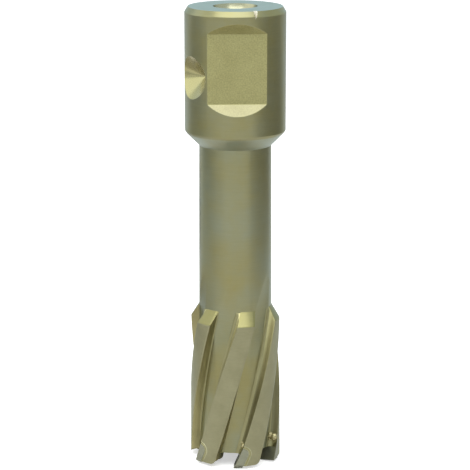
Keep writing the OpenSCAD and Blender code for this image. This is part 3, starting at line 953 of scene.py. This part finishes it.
# %% [markdown]
# ## Stage and light
# A metal shows its surroundings more than its own colour, so the studio is planned as what each face looks
# into. A pale floor comes first. A plain white floor would still turn grey in the picture where the light
# falls off, so it also glows a little, for the camera alone, and lights nothing.

# %% Floor
FLOOR_LIFT, FLOOR_SIZE = 0.5, (8, 8)


def stage_plane(name, at, aim, size):
    """A flat rectangle that faces a point, for the floor and the cards."""
    wide, high = size[0] / 2, size[1] / 2
    corners = [(-wide, -high, 0), (wide, -high, 0), (wide, high, 0), (-wide, high, 0)]
    mesh = bpy.data.meshes.new(name)
    mesh.from_pydata(corners, [], [(0, 1, 2, 3)])
    plane = bpy.data.objects.new(name, mesh)
    plane.location = at
    plane.rotation_euler = (Vector(at) - Vector(aim)).to_track_quat("-Z", "Y").to_euler()
    scene.collection.objects.link(plane)
    return plane


def paint_plane(plane, colour, roughness):
    """A plain material for a stage plane. Gives its node tree and its shader."""
    paint = bpy.data.materials.new(plane.name)
    paint.use_nodes = True
    shader = paint.node_tree.nodes["Principled BSDF"]
    shader.inputs["Base Color"].default_value = (*colour, 1)
    shader.inputs["Roughness"].default_value = roughness
    plane.data.materials.append(paint)
    return paint.node_tree, shader


floor = stage_plane("pale_floor", (0, 0, 0), (0, 0, -1), FLOOR_SIZE)
tree, shader = paint_plane(floor, (0.88, 0.88, 0.87), 0.7)
shader.inputs["Specular IOR Level"].default_value = 0.1
shader.inputs["Emission Color"].default_value = (1, 1, 1, 1)
rays = add_node(tree, "LightPath")
lift = add_node(tree, "Math", {1: FLOOR_LIFT}, operation="MULTIPLY")
link_pairs(tree, (rays.outputs["Is Camera Ray"], lift.inputs[0]),
           (lift.outputs[0], shader.inputs["Emission Strength"]))
print("floor:", FLOOR_SIZE, "m, lifted by", FLOOR_LIFT, "for the camera")

# %% [markdown]
# The world does two jobs. What the camera sees of it, straight, mirrored or through something clear, is one
# pale colour. All other rays meet a dimmer one, which fills the shadows. A picture of a studio could do both,
# but two plain colours need no file.

# %% World
FILL_STRENGTH = 0.65

world = bpy.data.worlds.new("studio")
scene.world = world
world.use_nodes = True
sky = world.node_tree
fill = sky.nodes["Background"]
fill.inputs["Color"].default_value = (0.94, 0.97, 1, 1)
fill.inputs["Strength"].default_value = FILL_STRENGTH
shown = add_node(sky, "Background", {"Color": (0.82, 0.95, 1, 1), "Strength": 1.0})
rays = add_node(sky, "LightPath")
seen = add_node(sky, "Math", operation="MAXIMUM")
seen_or_through = add_node(sky, "Math", operation="MAXIMUM")
choice = add_node(sky, "MixShader")
link_pairs(sky, (rays.outputs["Is Camera Ray"], seen.inputs[0]),
           (rays.outputs["Is Glossy Ray"], seen.inputs[1]),
           (seen.outputs[0], seen_or_through.inputs[0]),
           (rays.outputs["Is Transmission Ray"], seen_or_through.inputs[1]),
           (seen_or_through.outputs[0], choice.inputs["Fac"]),
           (fill.outputs[0], choice.inputs[1]), (shown.outputs[0], choice.inputs[2]),
           (choice.outputs[0], sky.nodes["World Output"].inputs["Surface"]))
print("world: fill of strength", FILL_STRENGTH)

# %% [markdown]
# One broad softbox hangs overhead for the ramps and chamfers, and a smaller one on the left fills the lower
# half of the dimple. Grey cards lie on the floor on both sides and behind, and give the round surfaces their
# darker flanks. Darker paint on the steel could imitate that, but would stay put when the view changes.
# The camera sees neither cards nor lamps, only their reflections.

# %% Softboxes and cards
CARD_LIFT, CARD_ROUGHNESS = 0.002, 0.9
SOFTBOXES = [
    ("overhead_softbox", (-0.05, -0.46, 0.84), (0, 0, 0.06), (1.2, 0.75), 2.95, (0.96, 0.975, 1.0)),
    ("left_softbox", (-0.55, -0.02, 0.33), (0, 0, 0.075), (0.74, 0.46), 0.85, (1.0, 0.98, 0.93)),
]
CARDS = [
    ("left_near_card", (-0.22, 0.05), (0.12, 0.26), (0.42, 0.47, 0.5)),
    ("left_front_card", (-0.24, -0.14), (0.22, 0.12), (0.42, 0.44, 0.45)),
    ("left_far_card", (-0.51, 0.08), (0.46, 0.44), (0.06, 0.065, 0.06)),
    ("right_near_card", (0.185, 0.0), (0.11, 0.36), (0.39, 0.4, 0.41)),
    ("right_far_card", (0.485, -0.02), (0.49, 0.6), (0.04, 0.04, 0.04)),
    ("back_card", (-0.05, 0.215), (0.14, 0.14), (0.12, 0.12, 0.12)),
    ("dimple_card", (-0.08, 0.04), (0.05, 0.13), (0.34, 0.33, 0.3)),
]


def softbox(name, at, aim, size, radiance, colour):
    """A rectangular lamp of a given brightness: its power is the brightness times pi times its area."""
    light = bpy.data.lights.new(name, "AREA")
    light.shape = "RECTANGLE"
    light.size, light.size_y = size
    light.energy = radiance * math.pi * size[0] * size[1]
    light.color = colour
    lamp = bpy.data.objects.new(name, light)
    lamp.location = at
    lamp.rotation_euler = (Vector(aim) - Vector(at)).to_track_quat("-Z", "Y").to_euler()
    lamp.visible_camera = False
    scene.collection.objects.link(lamp)


def floor_card(name, at, size, colour):
    """A matt card lying on the floor, which only reflections see."""
    card = stage_plane(name, (*at, CARD_LIFT), (*at, -1), size)
    paint_plane(card, colour, CARD_ROUGHNESS)
    card.visible_camera = False
    card.visible_diffuse = False
    card.visible_shadow = False


for lamp_values in SOFTBOXES:
    softbox(*lamp_values)
for card_values in CARDS:
    floor_card(*card_values)
print("stage:", len(SOFTBOXES), "softboxes and", len(CARDS), "cards on the floor")
